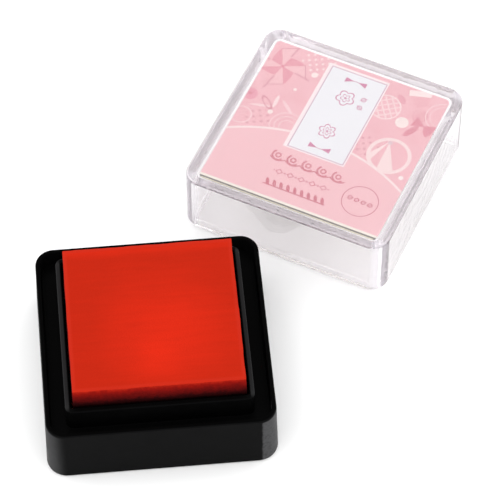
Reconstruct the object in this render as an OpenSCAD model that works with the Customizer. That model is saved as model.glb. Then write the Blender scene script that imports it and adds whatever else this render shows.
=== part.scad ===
// Small square ink pad for paper crafts: a black two-piece base that holds a block of inked foam
// over a felt reservoir, and a clear lift-off lid with a printed card under its top.
// The origin is the middle of the base's underside. The lid lies beside the base, mouth down.

/* [Base tray] */
// Width of the tray, along X
base_w = 40; // [32:0.5:60]
// Depth of the tray, along Y
base_d = 40; // [32:0.5:60]
// Height of the rim above the table
base_h = 12.2; // [10:0.1:18]
// Radius of the tray's upright corners
corner_r = 3.3; // [2.6:0.1:6]
// Thickness of the tray's floor
floor_t = 1.2; // [0.8:0.1:2]
// Thickness of the tray's wall below the deck
wall_t = 1.6; // [1.2:0.1:2.2]
// Width of the thin rim that stands round the lid's lip
rim_w = 0.8; // [0.6:0.05:1.1]
// Radius of the rounding along the rim's outer edge
rim_edge_r = 0.3; // [0.1:0.05:0.4]
// Radius of the rounding along the tray's bottom edge
foot_edge_r = 0.5; // [0.2:0.05:0.9]
// Distance that the foot of the tray's leaning wall stands out past the rim
wall_lean = 0.35; // [0.1:0.05:0.8]

/* [Pad cup] */
// Width of the open channel between the rim and the cup's wall
channel_w = 2.8; // [2.4:0.1:4]
// Depth of the channel below the rim
channel_depth = 3; // [2.4:0.1:4]
// Thickness of the deck that closes the channel
deck_t = 1; // [0.8:0.1:1.5]
// Thickness of the cup's wall
cup_wall = 0.9; // [0.7:0.05:1.2]
// Thickness of the cup's floor
cup_floor_t = 1; // [0.8:0.1:1.5]
// Height of the cup's wall above the rim
cup_proud = 2; // [1:0.1:4]
// Radius of the cup's outer corners
cup_corner_r = 1.4; // [1.3:0.1:2.5]
// Radius of the rounding along the top of the cup's wall
cup_edge_r = 0.25; // [0.1:0.05:0.35]
// Length of each snap bead that holds the deck down
bead_len = 8; // [4:0.5:14]
// Distance that a snap bead stands out of the tray's wall
bead_proud = 0.3; // [0.2:0.05:0.4]

/* [Pad and reservoir] */
// Thickness of the foam pad
pad_t = 9.8; // [6:0.1:11]
// Height of the pad's face above the cup's wall
pad_proud = 4.3; // [2:0.1:5]
// Gap between the pad and the cup's wall, all round
pad_gap = 0.65; // [0.4:0.05:1.2]
// Gap between the felt and the cup's wall, all round
felt_gap = 0.3; // [0.2:0.05:0.6]
// Thickness of the tape under the felt
tape_t = 0.2; // [0.1:0.05:0.4]
// Distance of the tape's edge inside the felt's edge
tape_inset = 2; // [1:0.5:5]
// Width of each rib that centres the pad in the cup
grip_w = 1.2; // [0.8:0.1:2]
// Distance from the cup's middle to each rib, along its wall
grip_offset = 8; // [5:0.5:10]

/* [Lid] */
// Height of the lid, lip included
lid_h = 14.1; // [11.5:0.1:20]
// Thickness of the lid's wall
lid_wall = 2; // [1.7:0.1:2.2]
// Thickness of the lid's top
lid_top_t = 1.2; // [0.8:0.1:2]
// Radius of the rounding along the lid's top edge
lid_edge_r = 0.5; // [0.2:0.1:1]
// Height of the stepped-in lip that drops inside the rim
lip_h = 1.2; // [0.8:0.1:2]

/* [Labels] */
// Thickness of the printed card under the lid's top
card_t = 0.3; // [0.2:0.05:0.5]
// Thickness of the clear adhesive film above the card
film_t = 0.1; // [0.05:0.05:0.2]
// Gap between the card and the lid's wall, all round
card_gap = 0.5; // [0.3:0.05:0.8]
// Radius of the card's corners
card_corner_r = 0.8; // [0.5:0.1:3]
// Width of the border round the label under the tray
label_border = 5; // [3:0.5:8]
// Thickness of the label under the tray
label_t = 0.12; // [0.08:0.02:0.2]
// Depth of the recess that keeps the label off the table
label_recess = 0.3; // [0.25:0.05:0.5]
// Radius of that label's corners
label_corner_r = 2; // [1:0.1:4]

/* [Fits] */
// Gap between the lid's lip and the rim, each side
lip_gap = 0.1; // [0.05:0.01:0.2]
// Gap between the deck's edge and the tray, each side
deck_gap = 0.1; // [0.05:0.01:0.2]
// Gap between the cup's foot and the ribs on the tray's floor
locate_gap = 0.15; // [0.1:0.05:0.3]
// Gap between the cup's floor and the tray's floor
cup_lift = 0.2; // [0.1:0.05:0.4]
// Gap between the pad and each rib in the cup
grip_gap = 0.1; // [0.05:0.05:0.2]
// Gap between the deck and the snap beads above it
bead_gap = 0.05; // [0.02:0.01:0.1]
// Gap between a label and the edge of its recess
label_gap = 0.25; // [0.1:0.05:0.5]

/* [Where the lid lies] */
// Turn of the lid, clockwise from above
lid_turn = 30; // [0:1:45]
// Clear distance from the tray's corner to the lid's front wall
lid_gap = 4.3; // [1:0.1:20]
// Distance of the lid's middle from that corner, along its front wall
lid_shift = 2.7; // [-10:0.1:10]

/* [Hidden] */
$fn = 64;
// Overlap that lets a cut run clean past a face
cut = 0.5;
// Thickness and height of the ribs that locate the cup's foot
locate_t = 0.8;
locate_h = 2;
// Height of a snap bead, and how far its root runs into the wall
bead_h = 0.6;
root_in = 0.1;
// Distance from the cup's top down to the ribs inside it
grip_drop = 1.5;

// Heights above the table
deck_z = base_h - channel_depth;
ledge_z = deck_z - deck_t;
cup_z = floor_t + cup_lift;
cup_floor_z = cup_z + cup_floor_t;
cup_top = base_h + cup_proud;
pad_top = cup_top + pad_proud;
pad_z = pad_top - pad_t;
felt_z = cup_floor_z + tape_t;

// Widths and depths, as [along X, along Y]
base = [base_w, base_d];
foot = grown(base, wall_lean);
rim_bore = grown(base, -rim_w);
tray_bore = grown(base, -wall_t);
deck = grown(rim_bore, -deck_gap);
cup = grown(rim_bore, -channel_w);
cup_bore = grown(cup, -cup_wall);
pad = grown(cup_bore, -pad_gap);
felt = grown(cup_bore, -felt_gap);
tape = grown(felt, -tape_inset);
label = grown(base, -label_border);
lip = grown(rim_bore, -lip_gap);
lid_bore = grown(base, -lid_wall);
card = grown(lid_bore, -card_gap);

// Corner radii that follow from the walls
foot_r = corner_r + wall_lean;
rim_bore_r = corner_r - rim_w;
tray_bore_r = corner_r - wall_t;
lip_r = rim_bore_r - lip_gap;
lid_bore_r = corner_r - lid_wall;
cup_bore_r = cup_corner_r - cup_wall;
// Corner radius of the felt and of the tape under it, which are cut almost square
felt_r = 0.3;

// The middle of the lid, measured out from the tray's far right corner
lid_pos = base / 2 + (base_d / 2 + lid_gap) * [sin(lid_turn), cos(lid_turn)]
    + lid_shift * [cos(lid_turn), -sin(lid_turn)];

// A size with the same margin added at both ends of each side
function grown(size, by) = [size[0] + 2 * by, size[1] + 2 * by];

// Rectangle with round corners, centred
module rounded(size, r) {
    square([size[0] - 2 * r, size[1]], center = true);
    square([size[0], size[1] - 2 * r], center = true);
    for (sx = [-1, 1], sy = [-1, 1])
        translate([sx * (size[0] / 2 - r), sy * (size[1] / 2 - r)])
            circle(r);
}

// Slab with round upright corners, standing on height z
module slab(size, r, z, h) {
    translate([0, 0, z])
        linear_extrude(h)
            rounded(size, r);
}

// Frame between an outer and an inner outline
module frame(outer, outer_r, inner, inner_r, z, h) {
    difference() {
        slab(outer, outer_r, z, h);
        slab(inner, inner_r, z - cut, h + 2 * cut);
    }
}

// Sweep a flat profile round an outline: its X is the distance outside the outline, its Y the height
module sweep(size, r) {
    for (a = [0 : 90 : 270])
        rotate(a) {
            long = a % 180 == 0 ? size[1] : size[0];
            reach = a % 180 == 0 ? size[0] : size[1];
            translate([reach / 2, long / 2 - r, 0])
                rotate([90, 0, 0])
                    linear_extrude(long - 2 * r)
                        children();
            translate([reach / 2 - r, long / 2 - r, 0])
                rotate_extrude(angle = 90)
                    translate([r, 0])
                        children();
        }
}

// Profile of what a rounding of radius e takes off a top edge
module edge_waste(e) {
    difference() {
        translate([-e, -e])
            square(e + cut);
        translate([-e, -e])
            circle(e);
    }
}

// Cutter that rounds a slab's outer edge at height z; side is 1 for its top edge, -1 for its bottom edge
module round_edge(size, r, z, e, side) {
    translate([0, 0, z])
        upside(side)
            sweep(size, r)
                edge_waste(e);
}

// Leave a shape as it is for side 1, or turn it upside down for side -1
module upside(side) {
    mirror([0, 0, side > 0 ? 0 : 1])
        children();
}

// Wedge round the tray that makes its wall lean outwards from the rim's rounding down to the foot
module leaning_wall() {
    lean_h = base_h - rim_edge_r;
    sweep(base, corner_r)
        polygon([[-root_in, 0], [wall_lean, 0], [0, lean_h], [-root_in, lean_h]]);
}

// Bead along the middle of a wall, pointing inwards; reach is the distance between the two walls
module snap_bead(reach) {
    translate([reach / 2, bead_len / 2, deck_z + bead_gap])
        rotate([90, 0, 0])
            linear_extrude(bead_len)
                polygon([[root_in, 0], [-bead_proud, bead_h / 2], [root_in, bead_h]]);
}

// Black outer moulding: floor, leaning wall with a ledge for the deck, thin rim, and ribs round the cup
module base_tray() {
    color("#1d1d1e")
        difference() {
            union() {
                difference() {
                    slab(base, corner_r, 0, base_h);
                    slab(tray_bore, tray_bore_r, floor_t, base_h);
                    slab(rim_bore, rim_bore_r, ledge_z, base_h);
                }
                leaning_wall();
                frame(grown(cup, locate_gap + locate_t), cup_corner_r + locate_gap + locate_t,
                      grown(cup, locate_gap), cup_corner_r + locate_gap, floor_t - cut, locate_h + cut);
                for (a = [0 : 90 : 270])
                    rotate(a)
                        snap_bead(a % 180 == 0 ? rim_bore[0] : rim_bore[1]);
            }
            slab(grown(label, label_gap), label_corner_r + label_gap, -cut, label_recess + cut);
            round_edge(base, corner_r, base_h, rim_edge_r, 1);
            round_edge(foot, foot_r, 0, foot_edge_r, -1);
        }
}

// Black inner moulding: square cup for the felt and the pad, with the deck that closes the tray round it
module pad_cup() {
    color("#161617")
        difference() {
            union() {
                slab(deck, rim_bore_r - deck_gap, ledge_z, deck_t);
                slab(cup, cup_corner_r, cup_z, cup_top - cup_z);
            }
            difference() {
                slab(cup_bore, cup_bore_r, cup_floor_z, cup_top);
                grip_ribs();
            }
            round_edge(cup, cup_corner_r, cup_top, cup_edge_r, 1);
        }
}

// Two upright ribs on each wall of the cup, which centre the pad
module grip_ribs() {
    long = pad_gap - grip_gap;
    for (a = [0 : 90 : 270])
        rotate(a)
            for (side = [-1, 1])
                translate([(a % 180 == 0 ? cup_bore[0] : cup_bore[1]) / 2 - long,
                           side * grip_offset - grip_w / 2, pad_z])
                    cube([long + cut, grip_w, cup_top - grip_drop - pad_z]);
}

// Double-sided tape that holds the felt to the cup's floor
module felt_tape() {
    color("#d9d4c6")
        slab(tape, felt_r, cup_floor_z, tape_t);
}

// Felt block that stores the ink under the pad
module ink_felt() {
    color("#8e1710")
        slab(felt, felt_r, felt_z, pad_z - felt_z);
}

// Block of sliced foam that takes the ink up to the stamp
module ink_pad() {
    color("#dd2c1c")
        translate([-pad[0] / 2, -pad[1] / 2, pad_z])
            cube([pad[0], pad[1], pad_t]);
}

// Plain label in the recess under the tray
module base_label() {
    color("#f2f1ee")
        slab(label, label_corner_r, label_recess - label_t, label_t);
}

// Put a piece of the lid where the lid lies
module lid_place() {
    translate([lid_pos[0], lid_pos[1], 0])
        rotate(-lid_turn)
            children();
}

// Clear cover with a rounded top edge and a stepped-in lip round its mouth
module lid_shell() {
    color("#e9e9f2", 0.35)
        lid_place()
            difference() {
                union() {
                    slab(base, corner_r, lip_h, lid_h - lip_h);
                    slab(lip, lip_r, 0, lip_h + cut);
                }
                slab(lid_bore, lid_bore_r, -cut, lid_h - lid_top_t + cut);
                round_edge(base, corner_r, lid_h, lid_edge_r, 1);
            }
}

// Clear adhesive film between the lid's top and the card
module card_film() {
    color("#f6f4ea", 0.5)
        lid_place()
            slab(card, card_corner_r, lid_h - lid_top_t - film_t, film_t);
}

// Printed card seen through the lid's top
module label_card() {
    color("#f8c5cc")
        lid_place()
            slab(card, card_corner_r, lid_h - lid_top_t - film_t - card_t, card_t);
}

base_tray();
pad_cup();
felt_tape();
ink_felt();
ink_pad();
base_label();
lid_shell();
card_film();
label_card();
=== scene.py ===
# %% [markdown]
# # A small square ink pad and its clear lid
#
# The object has two halves. The base is a black tray with a black cup in it, and the cup holds a
# block of foam soaked in red ink. The lid is a clear box with a printed card under its top, and it
# lies beside the base. This lesson builds each piece with bmesh operators around a model that was
# drawn elsewhere with exact sizes, and paints each piece with nodes.

import math

import bmesh
import bpy
import numpy as np
from mathutils import Matrix, Vector, noise


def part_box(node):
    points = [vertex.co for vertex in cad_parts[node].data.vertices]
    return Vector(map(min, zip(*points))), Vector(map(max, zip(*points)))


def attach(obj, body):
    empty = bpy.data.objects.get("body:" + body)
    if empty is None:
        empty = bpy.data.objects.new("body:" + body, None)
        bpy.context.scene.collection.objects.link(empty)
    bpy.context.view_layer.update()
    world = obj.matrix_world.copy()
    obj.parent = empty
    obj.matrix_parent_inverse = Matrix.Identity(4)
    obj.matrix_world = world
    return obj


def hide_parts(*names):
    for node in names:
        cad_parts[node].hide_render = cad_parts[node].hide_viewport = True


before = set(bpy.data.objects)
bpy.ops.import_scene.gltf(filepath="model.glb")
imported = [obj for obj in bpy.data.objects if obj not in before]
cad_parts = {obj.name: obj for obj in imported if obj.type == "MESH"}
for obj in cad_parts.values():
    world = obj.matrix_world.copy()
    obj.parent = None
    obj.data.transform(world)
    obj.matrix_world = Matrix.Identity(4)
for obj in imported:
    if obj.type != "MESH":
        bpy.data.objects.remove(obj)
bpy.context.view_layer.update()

# %% [markdown]
# ## Where things are
#
# Every piece takes its place from the exact model. The base stands square to the axes, and the lid
# is turned, so the turn is measured from the largest upright face of its wall. A box measured in
# the lid's own directions then gives its true width.

# %% Measure the two halves
MM = 0.001


def wall_turn(node):
    """Turn of a square piece about Z, from its largest upright face."""
    upright = [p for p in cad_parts[node].data.polygons if abs(p.normal.z) < 0.01]
    normal = max(upright, key=lambda p: p.area).normal
    quarter = math.pi / 2
    return (math.atan2(normal.y, normal.x) + quarter / 2) % quarter - quarter / 2


def own_box(node, place):
    """Lowest and highest corner of a node in millimetres, measured in its own directions."""
    back = place.inverted()
    co = np.array([back @ v.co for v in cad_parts[node].data.vertices]) / MM
    return co.min(0), co.max(0)


low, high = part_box("lid_shell")
lid_turn = wall_turn("lid_shell")
BASE = Matrix.Identity(4)
LID = Matrix.Translation(((low.x + high.x) / 2, (low.y + high.y) / 2, 0)) @ Matrix.Rotation(
    lid_turn, 4, "Z")
sizes = {n: own_box(n, LID if "lid" in n or "card" in n else BASE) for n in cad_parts}
for n, (lo, hi) in sorted(sizes.items()):
    print(f"{n}: {np.round(hi - lo, 2)} mm, from z {lo[2]:.2f}")
print(f"the lid is turned {math.degrees(lid_turn):.1f} degrees")


def side(node):
    """Width of a square node, in millimetres."""
    return float(sizes[node][1][0] - sizes[node][0][0])


def bottom(node):
    return float(sizes[node][0][2])


def top(node):
    return float(sizes[node][1][2])


# %% [markdown]
# ## Nodes as arithmetic
#
# A finish is a tree of nodes, and most of a pattern is arithmetic. Wiring that by hand is slow to
# read, so `Wire` wraps one socket and turns `+`, `*`, `<` and the rest into Math nodes. `Finish` is
# one material, and its `node` method adds any other kind of node: first its settings, then what
# goes into its sockets.

# %% A socket that can be added and multiplied
class Wire:
    """The output of a node, on which arithmetic adds Math nodes."""

    def __init__(self, finish, socket):
        self.finish, self.socket = finish, socket

    def math(self, operation, *values):
        return self.finish.node("Math", {"operation": operation}, dict(enumerate(values)))

    def __add__(self, other):
        return self.math("ADD", self, other)

    def __sub__(self, other):
        return self.math("SUBTRACT", self, other)

    def __rsub__(self, other):
        return self.math("SUBTRACT", other, self)

    def __mul__(self, other):
        return self.math("MULTIPLY", self, other)

    def __truediv__(self, other):
        return self.math("DIVIDE", self, other)

    def __rtruediv__(self, other):
        return self.math("DIVIDE", other, self)

    def __pow__(self, other):
        return self.math("POWER", self, other)

    def __mod__(self, other):
        return self.math("FLOORED_MODULO", self, other)

    def __lt__(self, other):
        return self.math("LESS_THAN", self, other)

    def __gt__(self, other):
        return self.math("GREATER_THAN", self, other)

    def __neg__(self):
        return self.math("MULTIPLY", self, -1.0)

    def __abs__(self):
        return self.math("ABSOLUTE", self)

    def least(self, other):
        return self.math("MINIMUM", self, other)

    def most(self, other):
        return self.math("MAXIMUM", self, other)

    def sine(self):
        return self.math("SINE", self)

    def root(self):
        return self.math("SQRT", self)

    def angle(self, across):
        """Angle of the point that lies this far up and that far across."""
        return self.math("ARCTAN2", self, across)

    __radd__ = __add__
    __rmul__ = __mul__


def away_from_middle(x, y):
    """Distance of the point x, y from 0, 0."""
    return (x * x + y * y).root()


# %% A material that grows by one method
class Finish:
    """A material. Its node method adds a node, sets it up, feeds it and returns an output."""

    def __init__(self, name):
        self.material = bpy.data.materials.new(name)
        self.material.use_nodes = True
        self.tree = self.material.node_tree
        self.tree.nodes.clear()

    def node(self, kind, settings=None, values=None, out=0):
        made = self.tree.nodes.new("ShaderNode" + kind)
        for name, setting in (settings or {}).items():
            if name == "stops":
                ramp = made.color_ramp.elements
                while len(ramp) < len(setting):
                    ramp.new(0.5)
                for stop, (place, colour) in zip(ramp, setting):
                    stop.position, stop.color = place, colour
            else:
                setattr(made, name, setting)
        for name, value in (values or {}).items():
            if isinstance(value, Wire):
                self.tree.links.new(value.socket, made.inputs[name])
            else:
                made.inputs[name].default_value = value
        return Wire(self, made.outputs[out])

    def position(self, place):
        """Object coordinates in millimetres, from the middle of a half and along its sides."""
        where = self.node("TexCoord", out="Object")
        return self.node("Mapping", {"vector_type": "TEXTURE"}, {
            "Vector": where, "Location": place.translation,
            "Rotation": (0, 0, place.to_euler().z), "Scale": (MM, MM, MM)})

    def split(self, vector):
        parts = self.node("SeparateXYZ", None, {"Vector": vector}).socket.node
        return [Wire(self, parts.outputs[i]) for i in range(3)]

    def mix(self, a, b, share):
        """Colour a turning to colour b as share goes from 0 to 1."""
        return self.node("Mix", {"data_type": "RGBA"}, {0: share, 6: a, 7: b}, out=2)

    def noise(self, where, scale, detail=2.0, roughness=0.5):
        return self.node("TexNoise", None, {
            "Vector": where, "Scale": scale, "Detail": detail, "Roughness": roughness})

    def ease(self, value, low, high, start=0.0, end=1.0):
        """Value carried smoothly from low..high to start..end, and held outside."""
        return self.node("MapRange", {"interpolation_type": "SMOOTHSTEP"}, {
            "Value": value, "From Min": low, "From Max": high, "To Min": start, "To Max": end})

    def bump(self, height, strength, distance):
        return self.node("Bump", None, {
            "Height": height, "Strength": strength, "Distance": distance})

    def plastic(self, **sockets):
        """A Principled shader with these sockets, named with _ for a space."""
        names = {key.replace("_", " "): value for key, value in sockets.items()}
        return self.node("BsdfPrincipled", None, names)

    def done(self, shader, volume=None):
        end = self.tree.nodes.new("ShaderNodeOutputMaterial")
        self.tree.links.new(shader.socket, end.inputs["Surface"])
        if volume:
            self.tree.links.new(volume.socket, end.inputs["Volume"])
        print(f"finish {self.material.name}: {len(self.tree.nodes)} nodes")
        return self.material


def srgb(r, g, b):
    """A colour given as 0 to 255 on a screen, as the light it stands for."""
    return tuple(((c / 255 + 0.055) / 1.055) ** 2.4 if c > 10 else c / 255 / 12.92
                 for c in (r, g, b)) + (1.0,)


# %% [markdown]
# ## Mouldings as stacks of rings
#
# Tray, cup and lid are all square boxes with round corners, so one way of building makes them all.
# A ring is four vertices joined by edges, with the corners bevelled round. Rings of different
# widths and heights are bridged one to the next, the first and last are filled, and the rings where
# the real moulding has a soft edge are bevelled. Every ring has the same number of vertices, so the
# bridges are clean quads.

# %% Rings bridged into a moulding
CORNER_STEPS = 14  # faces round one upright corner
ROUND_STEPS = 4  # faces across one rounded edge
STACK = 20.0  # step between rings while they are bridged
SHARP = math.radians(32)  # edges sharper than this keep a crease in the shading


def outline(bm, width, radius, height):
    """Edges of a square with round corners, all in millimetres."""
    place = Matrix.Translation((0, 0, height * MM)) @ Matrix.Rotation(math.pi / 4, 4, "Z")
    corners = bmesh.ops.create_circle(bm, segments=4, radius=width * MM / math.sqrt(2),
                                      matrix=place)["verts"]
    sides = {e for v in corners for e in v.link_edges}
    before = set(bm.edges) - sides
    bmesh.ops.bevel(bm, geom=corners, offset=radius * MM, offset_type="OFFSET",
                    segments=CORNER_STEPS, profile=0.5, affect="VERTICES", material=-1)
    return [e for e in bm.edges if e not in before]


def mould(rings, into=None, closed=False):
    """A closed moulding from rings of (width, corner radius, height, edge rounding).

    The rings are bridged while they stand far apart, because bridging picks the nearest corners, and
    only then moved to their heights. With into, the moulding is added to that one.
    """
    bm = bmesh.new()
    loops = [outline(bm, width, radius, i * STACK)
             for i, (width, radius, height, rounding) in enumerate(rings)]
    for a, b in zip(loops, loops[1:] + loops[:1] if closed else loops[1:]):
        bmesh.ops.bridge_loops(bm, edges=a + b)
    if not closed:
        for end in (loops[0], loops[-1]):
            bmesh.ops.edgeloop_fill(bm, edges=end)
    for i, ((width, radius, height, rounding), loop) in enumerate(zip(rings, loops)):
        bmesh.ops.translate(bm, verts=list({v for e in loop for v in e.verts}),
                            vec=(0, 0, (height - i * STACK) * MM))
    if bm.calc_volume(signed=True) < 0:
        bmesh.ops.reverse_faces(bm, faces=bm.faces[:])
    for (width, radius, height, rounding), loop in zip(rings, loops):
        if rounding:
            bmesh.ops.bevel(bm, geom=loop, offset=rounding * MM, offset_type="OFFSET",
                            segments=ROUND_STEPS, profile=0.5, affect="EDGES", material=-1)
    if into is None:
        return bm
    part = bpy.data.meshes.new("part")
    bm.to_mesh(part)
    bm.free()
    into.from_mesh(part)
    bpy.data.meshes.remove(part)
    return into


def block(bm, low, high):
    """A plain box added to a moulding, such as a rib, between two corners in millimetres."""
    low, high = Vector(low) * MM, Vector(high) * MM
    size, middle = high - low, (low + high) / 2
    bmesh.ops.create_cube(bm, size=1, matrix=Matrix.Translation(middle) @ Matrix.Diagonal(
        (*size, 1)))


def piece(bm, name, body, place, finish, slot, *nodes):
    """Turn a bmesh into a piece that rides on a body and stands for these nodes."""
    bm.transform(place)
    mesh = bpy.data.meshes.new(name)
    bm.to_mesh(mesh)
    bm.free()
    mesh.shade_smooth()
    mesh.set_sharp_from_angle(angle=SHARP)
    ob = bpy.data.objects.new(name, mesh)
    bpy.context.scene.collection.objects.link(ob)
    mesh.materials.append(finish)
    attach(ob, body)
    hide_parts(*nodes)
    ob.modifiers.new("even shading", "WEIGHTED_NORMAL").keep_sharp = True
    print(f"{name}: {len(mesh.polygons)} faces")
    return ob


# %% [markdown]
# ## Black plastic
#
# Tray and cup are moulded from glossy black plastic: the gloss is uneven, and highlights on the
# near corners and edges and shade on the rim top are painted into the colour. A picture would only
# fit one side, so the finish is worked out from the place of each point instead. It starts from a
# very dark grey with a fine grain and a wide haze, and each painted highlight or painted shade is a
# grey laid over it where its mask says so. The masks are small functions, so the tray and the cup
# share one recipe and differ only in their painted highlights and shade.

# %% One recipe for black plastic
HAZE_LIFT = 1.8  # how many times lighter the plastic is where the haze is thickest


def grey(level):
    """A grey with a trace of blue."""
    return (level, level, level * 1.03, 1)


def black_plastic(name, colour, painted_light_marks):
    """Gloss black with a fine grain; each painted highlight or shade is a grey and a function that
    draws its mask.
    """
    f = Finish(name)
    where = f.position(BASE)
    grain = f.noise(where, 6.0, 3.0)
    haze = f.noise(where, 0.25, 2.0)
    shade = f.mix(grey(colour), grey(colour * HAZE_LIFT), haze)
    # each mark is a painted highlight or a painted shade laid over the black
    for pale, mask in painted_light_marks:
        shade = f.mix(shade, grey(pale), mask(f, where))
    shader = f.plastic(Base_Color=shade, Roughness=f.ease(haze, 0.3, 0.7, 0.28, 0.38),
                       Specular_IOR_Level=0.015, Normal=f.bump(grain, 0.15, 0.02 * MM))
    return f.done(shader)


# %% Painted highlights and shade on the tray
half_base = side("base_tray") / 2
under_rim = top("base_tray") - 0.5
RIGHT_HIGHLIGHT_ACROSS = (17.3, 17.7)  # the painted highlight fades in between these distances to the right
LEFT_HIGHLIGHT_DIAGONAL = (36.6, 39.4)  # and the painted highlight on the left between these, along the corner's diagonal
LEFT_HIGHLIGHT_ACROSS = (16.5, 19.5)


def right_corner_highlight(f, where):
    """A cloudy painted highlight on the near right corner, standing in for its reflection, mottled
    like scuffs.
    """
    x, y, z = f.split(where)
    cloud = f.noise(where, 1.6, 4.0, 0.65)
    near = f.ease(-y, half_base - 6.0, half_base - 3.5)
    patchy = f.ease(cloud, 0.2, 0.6, 0.45, 1.0)
    return f.ease(x + cloud * 0.4, *RIGHT_HIGHLIGHT_ACROSS) * near * patchy * (z < under_rim)


def left_corner_highlight(f, where):
    """A painted highlight on the near left corner, standing in for its reflection."""
    x, y, z = f.split(where)
    cloud = f.noise(where, 0.9, 3.0, 0.6)
    return f.ease(-x - y + cloud * 0.8, *LEFT_HIGHLIGHT_DIAGONAL) * f.ease(-x, *LEFT_HIGHLIGHT_ACROSS) * (
        z < under_rim)


def rim_top_painted_shade(f, where):
    """Painted shade on the flat top of the rim, which mirrors nothing bright."""
    return f.ease(f.split(where)[2], top("base_tray") - 0.06, top("base_tray") - 0.02)


# tray black, with painted highlights on both near corners and painted shade on the rim top
tray_black = black_plastic("black tray plastic", 0.0022, [
    (0.055, right_corner_highlight), (0.04, left_corner_highlight), (0.0006, rim_top_painted_shade)])


# %% Painted highlight on the cup
CUP_HIGHLIGHT_OUT = (15.6, 15.8)  # the painted highlight starts this far out on the left and right
CUP_HIGHLIGHT_ENDS = (16.2, 15.2)  # and fades out between these distances to the front and back


def cup_edge_highlight(f, where):
    """Painted highlight along the left and right edges of the cup's wall, where they would mirror the
    soft boxes.
    """
    x, y, z = f.split(where)
    side_wall = f.ease(abs(x), *CUP_HIGHLIGHT_OUT) * f.ease(abs(y), *CUP_HIGHLIGHT_ENDS)
    return side_wall * f.ease(z, top("pad_cup") - 0.5, top("pad_cup") - 0.2)


# cup black, with a painted highlight along its left and right edges
cup_black = black_plastic("black cup plastic", 0.0012, [(0.018, cup_edge_highlight)])

# %% [markdown]
# ## The tray
#
# The tray is the outer black moulding. It stands on a flat ring with a shallow recess for a label
# inside it, its wall leans out a little towards the foot so that it leaves its mould, and a ledge
# inside holds the cup's deck. A solid box with holes cut by Booleans would do, but its edges would be
# hard to round. As one stack of rings, from the recess out, up over the rim and down to the floor,
# every edge can be rounded by the number that stands beside its ring.

# %% Tray
CORNER_R = 3.3
RIM_W = 0.8
WALL_T = 1.6
WALL_LEAN = 0.35
FLOOR_T = 1.2
CHANNEL_W = 2.8
CHANNEL_DEPTH = 3.0
DECK_T = 1.0
RECESS_DEPTH = 0.3
LABEL_R = 2.0
LABEL_GAP = 0.25
foot = side("base_tray")
base = foot - 2 * WALL_LEAN
rim_z = top("base_tray")
rim_bore = base - 2 * RIM_W
rim_bore_r = CORNER_R - RIM_W
tray_bore = base - 2 * WALL_T
tray_bore_r = CORNER_R - WALL_T
deck_z = rim_z - CHANNEL_DEPTH
ledge_z = deck_z - DECK_T
cup_w = rim_bore - 2 * CHANNEL_W
recess = side("base_label") + 2 * LABEL_GAP
recess_r = LABEL_R + LABEL_GAP
tray = mould([
    (recess, recess_r, RECESS_DEPTH, 0),
    (recess, recess_r, 0, 0.08),
    (foot, CORNER_R + WALL_LEAN, 0, 0.5),
    (base, CORNER_R, rim_z, 0.3),
    (rim_bore, rim_bore_r, rim_z, 0.06),
    (rim_bore, rim_bore_r, ledge_z, 0),
    (tray_bore, tray_bore_r, ledge_z, 0),
    (tray_bore, tray_bore_r, FLOOR_T, 0.3),
])
print(f"tray: {foot:.2f} mm across its foot and {base:.2f} mm across its rim")

# %% [markdown]
# ## Ribs and beads
#
# Ribs stand on the tray's floor to hold the cup's foot in the middle, and a small bead half way
# along each wall snaps over the deck. The ribs are one square hoop, so they are a stack of rings that
# closes on itself, and each bead is a cylinder of three sides, which is a wedge.

# %% Ribs and beads
CUP_R = 1.4  # corners of the cup
LOCATE_GAP = 0.15
LOCATE_T = 0.8
LOCATE_H = 2.0
ROOT = 0.1  # how far ribs run into what they stand on
BEAD_LEN = 8.0
BEAD_H = 0.6
BEAD_W = 0.4  # from the back of the wedge to its edge
BEAD_IN = 0.13  # from the bore's wall in to the wedge's own middle
BEAD_GAP = 0.05
hoop_in = cup_w + 2 * LOCATE_GAP
hoop_out = hoop_in + 2 * LOCATE_T
hoop_in_r = CUP_R + LOCATE_GAP
hoop_out_r = hoop_in_r + LOCATE_T
mould([
    (hoop_in, hoop_in_r, FLOOR_T - ROOT, 0),
    (hoop_in, hoop_in_r, FLOOR_T + LOCATE_H, 0),
    (hoop_out, hoop_out_r, FLOOR_T + LOCATE_H, 0),
    (hoop_out, hoop_out_r, FLOOR_T - ROOT, 0),
], into=tray, closed=True)
bead_at = Vector((rim_bore / 2 - BEAD_IN, 0, deck_z + BEAD_GAP + BEAD_H / 2)) * MM
lying = Matrix.Rotation(math.pi / 2, 4, "X") @ Matrix.Rotation(math.pi / 2, 4, "Z")
# a circle of three points is 1.5 times its radius wide and the root of 3 times high
wedge = Matrix.Diagonal((-BEAD_W / 1.5, 1, BEAD_H / math.sqrt(3), 1))
for quarter in range(4):
    lay = Matrix.Rotation(quarter * math.pi / 2, 4, "Z") @ Matrix.Translation(bead_at) @ wedge @ lying
    bmesh.ops.create_cone(tray, segments=3, radius1=MM, radius2=MM, depth=BEAD_LEN * MM,
                          cap_ends=True, cap_tris=False, matrix=lay)
piece(tray, "tray", "base", BASE, tray_black, "black_moulding", "base_tray")

# %% [markdown]
# ## The cup
#
# The cup is the inner black moulding: a square well for the felt and the foam, and a flat deck round
# it that closes the tray like a lid. Well and deck are one stack of rings again. Inside the well, two
# slim ribs on each wall keep the foam in the middle. They are plain blocks run a little way into the
# wall, because a rib this thin shows no rounding.

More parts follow.
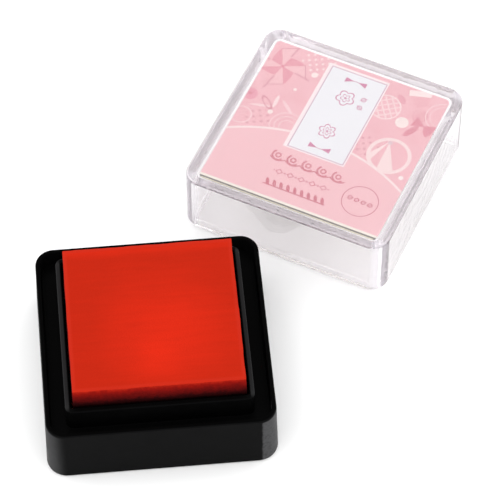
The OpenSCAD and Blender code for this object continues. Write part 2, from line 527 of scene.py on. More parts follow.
# %% Cup
CUP_WALL = 0.9
CUP_FLOOR_T = 1.0
DECK_GAP = 0.1
GRIP_W = 1.2
GRIP_OFFSET = 8.0
GRIP_REACH = 0.55
GRIP_DROP = 1.5
cup_foot = bottom("pad_cup")
cup_top = top("pad_cup")
cup_bore = cup_w - 2 * CUP_WALL
cup_bore_r = CUP_R - CUP_WALL
deck = side("pad_cup")
deck_r = rim_bore_r - DECK_GAP
pad_low, pad_high = sizes["ink_pad"]
cup = mould([
    (cup_bore, cup_bore_r, cup_foot + CUP_FLOOR_T, 0),
    (cup_bore, cup_bore_r, cup_top, 0.08),
    (cup_w, CUP_R, cup_top, 0.25),
    (cup_w, CUP_R, deck_z, 0.12),
    (deck, deck_r, deck_z, 0.1),
    (deck, deck_r, ledge_z, 0),
    (cup_w, CUP_R, ledge_z, 0),
    (cup_w, CUP_R, cup_foot, 0.2),
])
grip_low, grip_high = float(pad_low[2]), cup_top - GRIP_DROP
for offset in (-GRIP_OFFSET, GRIP_OFFSET):
    for way in (-1, 1):
        out = sorted((way * (cup_bore / 2 - GRIP_REACH), way * (cup_bore / 2 + ROOT)))
        across = (offset - GRIP_W / 2, offset + GRIP_W / 2)
        for x_ends, y_ends in ((out, across), (across, out)):
            block(cup, (x_ends[0], y_ends[0], grip_low), (x_ends[1], y_ends[1], grip_high))
piece(cup, "cup", "base", BASE, cup_black, "black_cup", "pad_cup")

# %% [markdown]
# ## The look of inked foam
#
# The pad is fine foam soaked in red ink. Its face is brightest where the ink stands, in the front
# half and along the back edge, and a painted highlight makes it a little paler along its rim. The
# sides were cut with a blade, and a painted shade takes them from red to almost black with depth.
# The face is a mix of two reds by a map of wetness, and the sides follow a colour ramp of painted
# shade from the top down, with a little noise so that the bands are not ruled lines. The pores are a
# bump, because they are far finer than any mesh that is worth its size.

# %% Where the ink stands
half = float(pad_high[0] - pad_low[0]) / 2
f = Finish("inked foam")
where = f.position(BASE)
x, y, z = f.split(where)
blotch = f.noise(where, 0.11, 2.0, 0.5)
streak = f.noise(f.node("Mapping", None, {"Vector": where, "Rotation": (0, 0, 0.12),
                                          "Scale": (0.12, 1.3, 1.0)}), 1.0, 3.0)


def soaked(f, where, centre, reach):
    """1 in the middle of a wet patch of the face, and 0 at its reach."""
    away = f.node("Mapping", {"vector_type": "TEXTURE"}, {
        "Vector": where, "Location": (*centre, pad_high[2]), "Scale": (reach, reach, reach)})
    return f.ease(f.node("VectorMath", {"operation": "LENGTH"}, {0: away}, out="Value"), 1.0, 0.0)


wet = (soaked(f, where, (2.6, -3.4), 17.5) * 0.78 + soaked(f, where, (0.4, -8.8), 6.0) * 0.4
       + (blotch - 0.5) * 0.4 + (streak - 0.5) * 0.5)

# %% Foam colours
back = f.ease(y, half - 2.6, half - 0.8)
top_red = f.mix(srgb(164, 29, 8), srgb(189, 33, 11), wet + back * 0.45)
# painted highlight: the face turns a little paler along its rim
edge = f.ease(abs(x).most(abs(y)), half - 0.75, half - 0.3)
top_red = f.mix(top_red, srgb(172, 36, 20), edge * 0.6)
speck = f.noise(f.node("Mapping", None, {"Vector": where, "Scale": (1.0, 1.0, 0.7)}), 1.5, 4.0,
                0.6)
# painted shade: the sides go from red to almost black with depth into the cup
RAMP_DEPTH = 6.0  # from the face down to the end of the ramp
below = (pad_high[2] - z + (speck - 0.5) * 1.7) / RAMP_DEPTH
side_painted_shade = f.node("ValToRGB", {"stops": [
    (0.0, srgb(160, 28, 11)), (0.14, srgb(128, 12, 5)), (0.32, srgb(98, 7, 5)),
    (0.5, srgb(72, 4, 4)), (0.62, srgb(38, 1, 2)), (0.80, srgb(12, 0, 1))]}, {0: below})
on_top = f.ease(z, pad_high[2] - 0.32, pad_high[2] - 0.12)
cells = f.node("TexVoronoi", {"feature": "SMOOTH_F1"}, {"Vector": where, "Scale": 4.2,
                                                        "Smoothness": 0.4})
pores = f.noise(where, 7.0, 3.0)
shader = f.plastic(
    Base_Color=f.mix(side_painted_shade, top_red, on_top), Roughness=0.8, Specular_IOR_Level=0.05,
    Normal=f.bump(cells * 0.6 + pores, 0.35, 0.07 * MM))
foam_red = f.done(shader)

# %% [markdown]
# ## The foam block
#
# A pad like this is sliced from a sheet, so its edges are sharp and its faces nearly flat. Cloth
# with pressure, which is the usual way to a cushion, would blow it up into a pillow. Here a block is
# cut into small squares and its vertices are moved a little by noise. The sides swell by about a
# quarter of a millimetre at most, which presses them a little way into the cup's ribs, and the face
# has shallow waves.

# %% Foam block
FOAM_CUTS = 44
RIM_ROUND = 0.14
SWELL_BAND = 1.2  # the swelling dies away this far inside the sides
SWELL = 0.10
SWELL_MIDDLE = 0.08  # added half way up
FACE_DROP = 0.10  # keeps the waves of the face below the block's own top
WAVE_SEED = Vector((7, 3, 1))


def clamp(value):
    """Value, held between 0 and 1."""
    return min(1.0, max(0.0, value))


pad = bmesh.new()
block(pad, pad_low, pad_high)
bmesh.ops.subdivide_edges(pad, edges=pad.edges[:], cuts=FOAM_CUTS, use_grid_fill=True)
rims = [e for e in pad.edges if e.calc_face_angle() > 1]
bmesh.ops.bevel(pad, geom=rims, offset=RIM_ROUND * MM, segments=3, profile=0.5,
                affect="EDGES", material=-1)
for v in pad.verts:
    p = v.co / MM
    height = clamp((p.z - pad_low[2]) / (pad_high[2] - pad_low[2]))
    wave = noise.noise(p * 0.22) * 0.10 + noise.noise(p * 0.9) * 0.05
    swell = abs(SWELL + SWELL_MIDDLE * math.sin(math.pi * height) - wave)
    for axis in (0, 1):
        near_side = clamp((abs(p[axis]) - half + SWELL_BAND) / SWELL_BAND)
        p[axis] += math.copysign(swell * near_side, p[axis])
    wave = noise.noise(p * 0.16 + WAVE_SEED) * 0.10 + noise.noise(p * 0.8) * 0.03
    near_face = clamp(height * 3 - 2)
    p.z += (wave - FACE_DROP) * near_face
    v.co = p * MM
pad_ob = piece(pad, "foam_pad", "base", BASE, foam_red, "inked_foam", "ink_pad")

# %% [markdown]
# ## The felt under the foam
#
# A block of felt stores the ink below the foam. It is hidden when the pad is whole, but it is there
# when the piece is taken apart, so it gets its own shape and finish: long fibres in the colour, and
# a fuzzy edge made by pushing the outer vertices out by uneven amounts.

# %% Look of felt
f = Finish("inked felt")
where = f.position(BASE)
fibre = f.noise(f.node("Mapping", None, {"Vector": where, "Scale": (1.0, 2.6, 6.0)}), 1.6, 5.0,
                0.7)
soak = f.noise(where, 0.14, 2.0)
felt_colour = f.mix(srgb(84, 6, 6), srgb(158, 26, 18), f.ease(fibre * 0.7 + soak * 0.3, 0.35, 0.62))
shader = f.plastic(
    Base_Color=felt_colour, Roughness=0.95, Specular_IOR_Level=0.1, Sheen_Weight=0.3,
    Normal=f.bump(fibre, 0.7, 0.25 * MM))
felt_red = f.done(shader)

# %% Felt block
FELT_CUTS = 30
SHRINK = 0.02  # keeps the block's faces off those of its neighbours
felt_low, felt_high = sizes["ink_felt"]
felt = bmesh.new()
block(felt, felt_low + SHRINK, felt_high - SHRINK)
bmesh.ops.subdivide_edges(felt, edges=felt.edges[:], cuts=FELT_CUTS, use_grid_fill=True)
half_felt = float(felt_high[0]) - SHRINK
for v in felt.verts:
    p = v.co / MM
    fuzz = abs(noise.noise(p * 1.3) * 0.09 + noise.noise(p * 0.35) * 0.1 - 0.12)
    for axis in (0, 1):
        if abs(p[axis]) > half_felt - 0.01:
            p[axis] += math.copysign(fuzz, p[axis])
    v.co = p * MM
felt_ob = piece(felt, "felt", "base", BASE, felt_red, "felt", "ink_felt")

# %% [markdown]
# ## The tape under the felt
#
# Double-sided tape holds the felt to the cup's floor. It is a thin slab, so two rings are enough,
# with the faint lengthwise streaks of paper tape in its colour.

# %% Tape
f = Finish("tape")
where = f.position(BASE)
weave = f.noise(f.node("Mapping", None, {"Vector": where, "Scale": (0.3, 3.0, 1.0)}), 2.0, 3.0)
shader = f.plastic(Base_Color=f.mix(srgb(214, 206, 186), srgb(232, 226, 210), weave),
                   Roughness=0.5, Normal=f.bump(weave, 0.2, 0.03 * MM))
tape_look = f.done(shader)

# %% Slabs
HAIR = 0.01  # a thin sheet is this much thinner on each face than its exact node


def sheet(node, radius, hair=HAIR):
    """A thin slab in the place of a node, with its faces just off its neighbours'."""
    return mould([(side(node), radius, bottom(node) + hair, 0),
                  (side(node), radius, top(node) - hair, 0)])


tape = sheet("felt_tape", 0.3)
piece(tape, "tape", "base", BASE, tape_look, "tape", "felt_tape")

# %% [markdown]
# ## Clear plastic
#
# The lid is clear polystyrene with a wall of 2 mm. A glass shader needs three things to look like it.
# The faces wave a little, as moulded ones do, which is the bump. Long ways through the plastic take
# on a grey-mauve tint, which is the volume. And a little white diffuse is mixed in at the upright
# corners, standing in for the highlights that their rounded edges catch. A shadow ray is let through
# almost untinted, because Cycles would otherwise cast the dark shadow of a solid box.

# %% Look of clear plastic
f = Finish("clear plastic")
where = f.position(LID)
shader = f.plastic(Base_Color=(0.955, 0.943, 0.951, 1), Roughness=0.012, IOR=1.55,
                   Transmission_Weight=1.0,
                   Normal=f.bump(f.noise(where, 0.5, 2.0), 0.35, 0.06 * MM))
x, y, z = f.split(where)
lid_w = side("lid_shell")
lid_top = top("lid_shell")
CORNER_HIGHLIGHT_SHARE = 0.27
# painted highlight: white diffuse mixed in at the upright corners
corner = f.ease(abs(x).least(abs(y)), lid_w / 2 - 2.9, lid_w / 2 - 1.7)
corner_highlight_white = f.node("BsdfDiffuse", None, {"Color": (0.8, 0.78, 0.83, 1)})
shader = f.node("MixShader", None, {0: corner * CORNER_HIGHLIGHT_SHARE, 1: shader, 2: corner_highlight_white})
shadow = f.node("LightPath", out="Is Shadow Ray")
clear = f.node("BsdfTransparent", None, {"Color": (1, 0.995, 0.997, 1)})
inside = f.node("VolumeAbsorption", None, {"Color": (0.70, 0.64, 0.68, 1), "Density": 52.0})
clear_plastic = f.done(f.node("MixShader", None, {0: shadow, 1: shader, 2: clear}), inside)

# %% [markdown]
# ## The lid
#
# The lid is one stack of rings: up the inside from the mouth, and down the outside with a step near
# the mouth, where a lip drops into the tray's rim. Its faces must enclose real thickness, as only
# then do the borders refract the way they do on the object.

# %% Lid
LIP_H = 1.2
LIP_GAP = 0.1
LID_WALL = 2.0
LID_TOP_T = 1.2
lid_bore = lid_w - 2 * LID_WALL
lid_bore_r = CORNER_R - LID_WALL
lip_w = rim_bore - 2 * LIP_GAP
lip_r = rim_bore_r - LIP_GAP
lid = mould([
    (lid_bore, lid_bore_r, lid_top - LID_TOP_T, 0.15),
    (lid_bore, lid_bore_r, 0, 0.1),
    (lip_w, lip_r, 0, 0.15),
    (lip_w, lip_r, LIP_H, 0),
    (lid_w, CORNER_R, LIP_H, 0.08),
    (lid_w, CORNER_R, lid_top, 0.5),
])
piece(lid, "lid", "lid", LID, clear_plastic, "clear_plastic", "lid_shell")

# %% [markdown]
# ## Drawing with distances
#
# A printed card is next, with dozens of shapes on it. An image would be a second file, and it would
# blur when seen close. Instead, every shape is a distance: how far is this point from a centre, a
# line or a ring? Where the distance falls below a reach, ink is laid, with an edge that fades over a
# tenth of a millimetre, so that it never looks jagged. `Print` is a finish that keeps the colour so
# far and lays one shape after another over it, as a press does.

# %% A finish that can be printed on
SOFT = 0.05  # half the width over which an edge fades
INK_LEVEL = 0.785  # how bright an ink lies on the card under these lamps
BOW_SPREAD = 0.55  # how fast a bow widens
BOW_KNOT = 0.12  # half its height at the knot


class Print(Finish):
    """A finish that is drawn on, shape by shape, in millimetres from the middle of the card."""

    def count(self, title):
        print(f"{title}: {len(self.tree.nodes)} nodes so far")

    def start(self, place, paper):
        """Begin with plain paper of this colour."""
        where = self.position(place)
        self.flat = self.node("VectorMath", {"operation": "MULTIPLY"}, {0: where, 1: (1, 1, 0)})
        self.height = self.split(where)[2]
        self.colour = self.tone(paper)
        return self

    def tone(self, colour):
        """An ink, darkened so that the bright light brings it back to this colour."""
        return tuple(channel * INK_LEVEL for channel in srgb(*colour)[:3]) + (1,)

    def ink(self, mask, colour, share=1.0):
        """Lay a colour where the mask is 1."""
        self.colour = self.mix(self.colour, self.tone(colour), mask * share if share < 1 else mask)

    def about(self, centre, turn=0.0, size=(1.0, 1.0)):
        """Place measured from a centre, turned by degrees and counted in sizes."""
        return self.node("Mapping", {"vector_type": "TEXTURE"}, {
            "Vector": self.flat, "Location": (*centre, 0),
            "Rotation": (0, 0, math.radians(turn)), "Scale": (*size, 1)})

    def far(self, where):
        return self.node("VectorMath", {"operation": "LENGTH"}, {0: where}, out="Value")

    def inside(self, distance, reach, soft=SOFT):
        """1 where the distance is below the reach."""
        return self.ease(distance, reach + soft, reach - soft)

    def disc(self, centre, radius, soft=SOFT):
        return self.inside(self.far(self.about(centre)), radius, soft)

    def leaf(self, centre, turn, size):
        return self.inside(self.far(self.about(centre, turn, size)), 1.0, SOFT / size[1])

    def ring(self, centre, radius, width):
        return self.inside(abs(self.far(self.about(centre)) - radius), width / 2)

    def box(self, centre, half, turn=0.0):
        x, y, _ = self.split(self.about(centre, turn))
        return self.inside((abs(x) - half[0]).most(abs(y) - half[1]), 0.0)

    def frame(self, centre, half, width):
        x, y, _ = self.split(self.about(centre))
        return self.inside(abs((abs(x) - half[0]).most(abs(y) - half[1])), width / 2)

    def bow(self, centre, turn, reach):
        """Two triangles that meet at their points."""
        x, y, _ = self.split(self.about(centre, turn))
        x = abs(x)
        return self.inside((abs(y) - x * BOW_SPREAD - BOW_KNOT).most(x - reach), 0.0)

    def dots(self, centre, radius, step, size):
        """Small dots on a slanted lattice, inside a disc."""
        x, y, _ = self.split(self.about(centre, 30))
        x, y = (x / step) % 1.0 - 0.5, (y / step) % 1.0 - 0.5
        near = away_from_middle(x, y)
        return self.inside(near, size / step, SOFT / step) * self.disc(centre, radius)


# %% [markdown]
# ## The card: its upper field
#
# The upper half of the card has small, soft pictures of toys scattered over a mottled pink. They are
# built from discs, leaves, rings and patches of dots, most of them in a paler or a deeper pink.

# %% Card, left side of the upper field
INK = (216, 126, 148)
PALE = (254, 230, 233)
f = Print("printed card").start(LID, (246, 183, 196))
mottle = f.noise(f.flat, 0.28, 3.0)
f.ink(f.ease(mottle, 0.42, 0.7), (240, 170, 184), 0.6)
f.ink(f.dots((-8.3, 15.9), 3.2, 1.2, 0.26), (255, 232, 234), 0.8)
f.ink(f.dots((-13.2, -1.2), 2.7, 1.3, 0.26), (222, 146, 160), 0.8)
f.ink(f.leaf((-11.75, 4.0), 92, (1.5, 0.36)), PALE, 0.9)
f.ink(f.leaf((-14.0, 2.0), 15, (1.9, 0.3)), PALE, 0.6)
f.ink(f.leaf((-9.3, 3.6), 140, (1.8, 0.35)), PALE, 0.5)
for radius in (1.4, 2.3, 3.2):
    f.ink(f.ring((-7.6, -0.6), radius, 0.22), PALE, 0.5)
f.ink(f.ring((-16.4, -1.4), 1.9, 0.22), PALE, 0.6)
f.ink(f.disc((-16.9, 3.75), 1.4), (238, 148, 172), 0.95)
f.ink(f.disc((-16.9, 3.9), 0.4, 0.2), (215, 90, 122), 0.7)
rim = f.far(f.about((-13.2, 3.05), -42, (1.6, 0.55)))
f.ink(f.inside(abs(rim - 1.0), 0.16, 0.1), (214, 118, 140), 0.85)
for centre, radius in (((-11.75, 1.35), 0.5), ((-7.8, 12.65), 0.62), ((-9.7, 8.0), 0.35)):
    f.ink(f.disc(centre, radius), (255, 240, 239), 0.9)
f.count("left side")

# %% [markdown]
# ## Pinwheel
#
# A pinwheel repeats every quarter turn, so its angle is folded by a quarter: one sail is drawn, and
# the other three appear. The sail is a pale wedge with an outline on two sides, and its fold is a
# darker triangle. Both are bounded by weighing two lengths against each other: how far a point is
# from the hub, and how far it stands off the sail's straight side.

# %% Pinwheel
HUB_SHARE = math.cos(0.5)  # share of the distance from the hub that is weighed
x, y, _ = f.split(f.about((-14.1, 12.1), 25))
away = away_from_middle(x, y)
turn = y.angle(x) % (math.pi / 2)
along, out = away * HUB_SHARE, away * turn.sine()
sail_end = out + along * 0.05 - 4.42
f.ink(f.inside((along * 0.92 - out).most(sail_end), 0.0), (249, 195, 204), 0.65)
f.ink(f.inside(abs(sail_end), 0.09) * f.inside(along * 0.92 - out, 0.0), INK, 0.75)
f.ink(f.inside(abs(along * 0.92 - out) * 0.73, 0.08) * f.inside(away, 6.1)
      * (away > 2.8), INK, 0.6)
fold = ((out - along * 0.9) * 0.74).most(((along - 3.9) * 2.0 + out * 1.67) / 2.6)
f.ink(f.inside(fold, 0.0), (235, 140, 162), 0.85)
f.ink(f.inside(away, 0.35), (228, 120, 146), 0.8)
f.count("pinwheel")

# %% [markdown]
# ## The right side of the upper field
#
# A woven ball, which is a lattice inside a disc, and round it a flag, a bow, leaves and circles.

# %% Right side of the upper field
BOW_PINK = (228, 128, 152)
WOVEN_BALL = (7.2, 11.2)
WOVEN_R = 2.8
x, y, _ = f.split(f.about(WOVEN_BALL, 35))
weave = abs((x * 0.9) % 1.0 - 0.5).least(abs((y * 0.9) % 1.0 - 0.5))
ball = f.far(f.about(WOVEN_BALL))
f.ink(f.inside(weave, 0.12, 0.06) * f.inside(ball, WOVEN_R), PALE, 0.7)
f.ink(f.inside(abs(ball - WOVEN_R), 0.12), PALE, 0.8)
f.ink(f.leaf((9.2, 14.1), -45, (1.25, 0.6)), (233, 148, 168), 0.8)
f.ink(f.leaf((12.8, 15.2), 62, (1.6, 1.3)), (240, 170, 184), 0.8)
f.ink(f.box((11.9, 16.75), (2.1, 0.68), 17), (255, 233, 235))
f.ink(f.leaf((14.0, 11.6), 60, (1.7, 1.1)), (240, 165, 180), 0.75)
f.ink(f.ring((13.8, 11.8), 1.35, 0.16), (228, 140, 160), 0.6)
f.ink(f.ring((17.8, 13.2), 3.2, 0.2), PALE, 0.6)
f.ink(f.ring((17.8, 13.2), 2.4, 0.14), PALE, 0.5)
f.ink(f.bow((15.3, 9.9), -12, 2.1), BOW_PINK)
f.ink(f.leaf((13.6, 7.9), 61, (1.75, 0.62)), BOW_PINK)
f.ink(f.leaf((16.2, 8.7), -60, (1.0, 0.5)), BOW_PINK)
f.ink(f.disc((11.33, 9.1), 1.25), (254, 236, 236))
f.ink(f.dots((7.7, 1.5), 2.6, 1.27, 0.26), (220, 140, 156), 0.8)
f.count("right side")

# %% [markdown]
# ## Striped ball
#
# The stripes of a ball run together at its pole, so each is a range of angles about a point near the
# top, cut off by the ball's own disc. Its rim is a band of its own.

# %% Striped ball
BALL_R = 4.15
BALL_RIM = 3.45  # the rim starts this far out
x, y, _ = f.split(f.about((11.1, 4.1)))
stripe_angle = x.angle(-y)
ball = f.far(f.about((12.2, 1.0)))


def stripe(middle, half_width):
    """A stripe between two angles, given in degrees by its middle and half its width."""
    return f.inside(abs(stripe_angle - math.radians(middle)), math.radians(half_width), 0.03)


bands = stripe(14, 13).most(stripe(-25, 7)).most(f.inside(-ball, -BALL_RIM))
f.ink(bands * f.inside(ball, BALL_R), (254, 230, 232), 0.9)
f.ink(f.disc((11.3, 3.85), 0.45, 0.12), (226, 196, 208), 0.9)
f.count("striped ball")

# %% [markdown]
# ## The lower field and the white plate
#
# A plain pink ground covers the lower half, and its upper edge is the arc of a large circle. It
# is laid over the pictures, as it hides their lower ends, and the white plate is laid over both.

# %% Lower field and the white plate
GROUND = (-0.35, -35.2)  # middle of the circle whose arc tops the lower field
GROUND_R = 34.4
PLATE = (-0.1, 5.8)
PLATE_HALF = (5.5, 10.28)
arc = f.far(f.about(GROUND))
f.ink(f.inside(arc, GROUND_R), (248, 191, 202))
f.ink(f.inside(abs(arc - GROUND_R - 0.05), 0.24), (254, 230, 233))
f.ink(f.disc((16.2, -2.75), 0.48), (254, 238, 240))
f.ink(f.box((-0.33, 5.92), (6.07, 10.75)), (255, 242, 247))
f.ink(f.box(PLATE, PLATE_HALF), (244, 247, 255))
f.ink(f.frame(PLATE, PLATE_HALF, 0.2), (205, 160, 188), 0.9)
f.count("plate")

# %% [markdown]
# ## Ornaments on the plate
#
# A printed plate would have words here. This one has none: two rosettes, whose outline is a circle
# swollen by a sine of the angle, and two small marks stand in their places, between a pair of bows.

# %% Ornaments on the plate
MAUVE = (206, 104, 156)
for height, way in ((14.4, 0), (-2.8, 180)):
    x, y, _ = f.split(f.about((-0.1, height), way))
    x = abs(x)
    wedge = (x - 2.1).most(0.5 - x).most(abs(y + x * 0.12) - (x - 0.4) * 0.34)
    f.ink(f.inside(wedge, 0.0), MAUVE)
    f.ink(f.inside((x - 1.6).most(abs(y + x * 0.12)), 0.07), MAUVE, 0.9)
for centre, petals, radius in (((-0.4, 10.0), 5, 1.2), ((-0.35, 1.5), 6, 1.05)):
    x, y, _ = f.split(f.about(centre, 18))
    lobe = abs((y.angle(x) * (petals / 2)).sine())
    away = away_from_middle(x, y)
    f.ink(f.inside(abs(away - lobe * 0.55 - radius), 0.13), MAUVE, 0.9)
    f.ink(f.inside(abs(away - lobe * 0.45 - radius * 0.38), 0.11), MAUVE, 0.8)
    f.ink(f.inside(away, 0.26), MAUVE, 0.9)
for height, way in ((11.0, 35), (9.0, -35)):
    f.ink(f.ring((2.85, height), 0.42, 0.2), MAUVE, 0.8)
    f.ink(f.leaf((2.85, height), way, (0.8, 0.12)), MAUVE, 0.7)
f.count("ornaments")

# %% [markdown]
# ## Rows of ornament
#
# Three plain rows stand for three lines of print: curls, lozenges and blades. A row is one cell that
# repeats, so the place along the row is folded by the step, and only one cell has to be drawn.

# %% Rows under the plate
ROSE = (214, 100, 124)
DEEP_ROSE = (209, 86, 114)


def row(f, centre, step, reach):
    """Place inside one of the equal cells of a row: along it, up it, and the row's own mask."""
    x, y, _ = f.split(f.about(centre, -0.5))
    return ((x / step + 0.5) % 1.0 - 0.5) * step, y, f.inside(abs(x), reach)


x, y, width = row(f, (-0.1, -7.4), 3.0, 7.5)
curl = ((x + 0.1) ** 2.0 + (y - 0.15) ** 2.0).root()
gap = f.inside(x * -0.9 - y, -0.3)
f.ink(f.inside(abs(curl - 1.1), 0.19) * (1.0 - gap * 0.95) * width, ROSE)
f.ink(f.inside(abs(curl - 0.45), 0.16) * width, ROSE, 0.95)
tail = abs(y + 1.05 - x * x * 0.25)
f.ink(f.inside(tail, 0.16) * width, ROSE, 0.95)
x, y, width = row(f, (-0.1, -10.65), 2.2, 5.5)
f.ink(f.inside(abs(abs(x) * 0.85 + abs(y) - 0.52), 0.13) * width, ROSE, 0.9)
f.ink(f.inside((abs(abs(x) - 1.1) * 0.9 + abs(y)), 0.26) * width, ROSE, 0.8)
x, y, width = row(f, (-0.1, -13.5), 1.36, 6.12)
blade = f.far(f.node("CombineXYZ", None, {0: (x + y * 0.35) * 2.6, 1: y * 1.15}))
f.ink(f.inside(blade, 0.92, 0.08) * width, DEEP_ROSE)
f.ink(f.inside(abs(y + 0.62), 0.13) * width, DEEP_ROSE)
f.count("rows")

# %% [markdown]
# ## Ring
#
# A thin ring at the lower right, with a short chain of curls across it.

# %% Ring
RING_AT = (11.55, -10.7)
RING_INK = (208, 98, 122)
LINK_STEP = 1.32
f.ink(f.ring(RING_AT, 3.35, 0.16), RING_INK)
x, y, _ = f.split(f.about(RING_AT, -3))
cell = ((x / LINK_STEP) % 1.0 - 0.5) * LINK_STEP
curl = away_from_middle(cell, y)
width = f.inside(abs(x), 2.6)
f.ink(f.inside(abs(curl - 0.38), 0.11) * width, RING_INK, 0.95)
f.ink(f.inside(abs(y - cell * 0.5), 0.09) * f.inside(curl, 0.62) * width, RING_INK, 0.8)
f.count("ring")

# %% [markdown]
# ## The card
#
# The near margin is unprinted. Along the cut edge a dark line is painted as the shadow in the gap
# between card and lid wall, and a pale strip at the very edge is a painted reflection of the card's
# edge in that wall. The back of the card is white, so the print ends a hair above its underside. The
# card itself is a thin slab.

# %% Margin, painted edge shadow and painted edge reflection
MARGIN = 0.95
EDGE_SHADOW_AT = 0.26  # the painted shadow line lies this far in from the near edge
x, y, _ = f.split(f.flat)
card_half = side("label_card") / 2
f.ink(f.inside(y, MARGIN - card_half), (253, 244, 236))
# painted shadow: a dark line for the gap between card and lid wall
f.ink(f.inside(abs(y + card_half - EDGE_SHADOW_AT), 0.17, 0.03), (52, 44, 30), 0.97)
# painted reflection: a pale strip for the card's edge seen in the lid wall
f.ink(f.inside(y, 0.08 - card_half, 0.02), (246, 240, 214))
under = f.height < (bottom("label_card") + 0.02)
printed = f.mix(f.colour, srgb(250, 248, 244), under)
shader = f.plastic(Base_Color=printed, Roughness=0.45, Specular_IOR_Level=0.2)
card_print = f.done(shader)

# %% Card
CARD_R = 0.8
card = sheet("label_card", CARD_R, 0)
piece(card, "card", "lid", LID, card_print, "printed_card", "label_card")

# %% [markdown]
# ## The film
#
# Clear adhesive film holds the card up against the lid. It is nearly invisible, so it is almost all
# transparent shader, with a trace of gloss.

# %% Film
f = Finish("clear film")
shader = f.plastic(Base_Color=(0.95, 0.94, 0.9, 1), Roughness=0.1)
clear = f.node("BsdfTransparent", None, {"Color": (0.99, 0.99, 0.98, 1)})
FILM_CLEAR = 0.97
film_look = f.done(f.node("MixShader", None, {0: FILM_CLEAR, 1: shader, 2: clear}))
film = sheet("card_film", CARD_R)
piece(film, "film", "lid", LID, film_look, "clear_film", "card_film")

# %% [markdown]
# ## The label under the tray
#
# A plain off-white label lies in the recess, with a frame, two rings round a drop, and a row of
# lozenges. The same `Print` draws it.

# %% Label
f = Print("plain label").start(BASE, (240, 238, 232))
fibre = f.noise(f.flat, 3.0, 4.0)
f.ink(f.ease(fibre, 0.4, 0.7), (230, 227, 219), 0.6)
FRAME_HALF = 13.4
f.ink(f.frame((0, 0), (FRAME_HALF, FRAME_HALF), 0.25), ROSE, 0.9)
x, y, width = row(f, (0, -9.4), 1.9, 10.4)
f.ink(f.inside(abs(x) * 0.8 + abs(y), 0.45) * width, ROSE, 0.8)
for radius in (4.6, 3.4):
    f.ink(f.ring((0, 1.6), radius, 0.25), ROSE, 0.9)
x, y, _ = f.split(f.about((0, 1.1)))
drop = away_from_middle(x, y).least((abs(x) * 1.2 + (y - 2.6) * 0.62).most(-y) + 1.3)
f.ink(f.inside(drop, 1.3), ROSE, 0.9)
shader = f.plastic(Base_Color=f.colour, Roughness=0.6, Specular_IOR_Level=0.3,
                   Normal=f.bump(fibre, 0.1, 0.02 * MM))
label_look = f.done(shader)
label = sheet("base_label", LABEL_R, HAIR / 2)
piece(label, "label", "base", BASE, label_look, "plain_label", "base_label")

# %% [markdown]
# ## The studio
#
# A pale floor, a white tent all round and two soft boxes are what a small object on white is shot
# with. The tent is brighter near the floor than overhead, because that is what lights the inside of
# the lid through its walls.

# %% Floor
FLOOR_HALF = 1.2  # metres
FLOOR_DROP = 0.02  # keeps the floor off the underside of the tray
bm = bmesh.new()
bmesh.ops.create_grid(bm, x_segments=1, y_segments=1, size=FLOOR_HALF,
                      matrix=Matrix.Translation((0, 0, -FLOOR_DROP * MM)))
mesh = bpy.data.meshes.new("floor")
bm.to_mesh(mesh)
bm.free()
floor = bpy.data.objects.new("floor", mesh)
bpy.context.scene.collection.objects.link(floor)
f = Finish("pale floor")
mesh.materials.append(f.done(f.plastic(Base_Color=(0.9, 0.9, 0.9, 1), Roughness=0.9)))

# %% Tent
TENT_LOW, TENT_HIGH = 2.35, 1.27  # strength at the horizon, and from TENT_RISE up
TENT_RISE = 0.55  # height of a direction, where 1 is straight up
world = bpy.data.worlds.new("studio")
bpy.context.scene.world = world
world.use_nodes = True
tent = world.node_tree
tent.nodes["Background"].inputs["Color"].default_value = (1, 1, 1, 1)
way = tent.nodes.new("ShaderNodeTexCoord")
parts = tent.nodes.new("ShaderNodeSeparateXYZ")
level = tent.nodes.new("ShaderNodeMapRange")
for socket, value in (("From Min", 0.0), ("From Max", TENT_RISE), ("To Min", TENT_LOW),
                      ("To Max", TENT_HIGH)):
    level.inputs[socket].default_value = value
tent.links.new(way.outputs["Generated"], parts.inputs[0])
tent.links.new(parts.outputs["Z"], level.inputs["Value"])
tent.links.new(level.outputs[0], tent.nodes["Background"].inputs["Strength"])
print(f"tent: {TENT_LOW} at the horizon, {TENT_HIGH} overhead")

# %% Soft boxes
BOX_SIDE = 0.6  # metres
BOX_AWAY = 0.8
BOX_ELEVATION = math.radians(50)
BOX_AIM = Vector((0.02, 0.023, 0))  # between the base and the lid


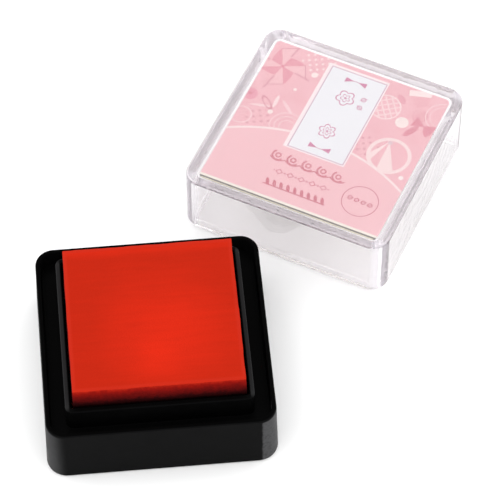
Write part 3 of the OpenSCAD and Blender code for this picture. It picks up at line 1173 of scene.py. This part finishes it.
def soft_box(name, azimuth, power):
    """A square soft box that looks at the object from this azimuth, in degrees."""
    turn = math.radians(azimuth)
    flat = math.cos(BOX_ELEVATION)
    out = Vector((flat * math.cos(turn), flat * math.sin(turn), math.sin(BOX_ELEVATION)))
    data = bpy.data.lights.new(name, "AREA")
    data.shape = "RECTANGLE"
    data.size = data.size_y = BOX_SIDE
    data.energy = power
    ob = bpy.data.objects.new(name, data)
    bpy.context.scene.collection.objects.link(ob)
    ob.location = BOX_AIM + out * BOX_AWAY
    ob.rotation_euler = (-out).to_track_quat("-Z", "Y").to_euler()
    print(f"{name}: {power} W from azimuth {azimuth}")


soft_box("left box", 190, 1.5)
soft_box("right box", -10, 1.0)

# %% [markdown]
# ## The camera
#
# A long lens looks down on the pad from the front. Light has to cross many faces of the lid before
# it comes out, so the limits on bounces are high: with the usual ones the corners go black.

# %% Camera
CAMERA_AT = (-0.010339, -0.307330, 0.462567)  # metres
TOWARDS_CAMERA = Vector((-0.05185, -0.58305, 0.81078))
CAMERA_UP = Vector((0.07567, 0.80725, 0.58534))
cam_data = bpy.data.cameras.new("camera")
cam = bpy.data.objects.new("camera", cam_data)
bpy.context.scene.collection.objects.link(cam)
bpy.context.scene.camera = cam
cam_data.sensor_width = 36
cam_data.lens = 223.5
cam_data.clip_start, cam_data.clip_end = 0.01, 10
out = TOWARDS_CAMERA.normalized()
up = (CAMERA_UP - out * CAMERA_UP.dot(out)).normalized()
right = up.cross(out)
turn = Matrix((right, up, out)).transposed().to_4x4()
cam.matrix_world = Matrix.Translation(CAMERA_AT) @ turn
print(f"camera: {cam_data.lens} mm lens at {np.round(cam.matrix_world.translation, 3)} m")

# %% Colours and bounces
bpy.context.scene.view_settings.view_transform = "Standard"
CLEAR_BOUNCES = 64  # enough for light to find its way out of the lid's corners
cycles = bpy.context.scene.cycles
cycles.max_bounces = 72
cycles.diffuse_bounces = 5
cycles.glossy_bounces = CLEAR_BOUNCES
cycles.transmission_bounces = CLEAR_BOUNCES
cycles.transparent_max_bounces = 24
print("bounces:", cycles.max_bounces, "at most")
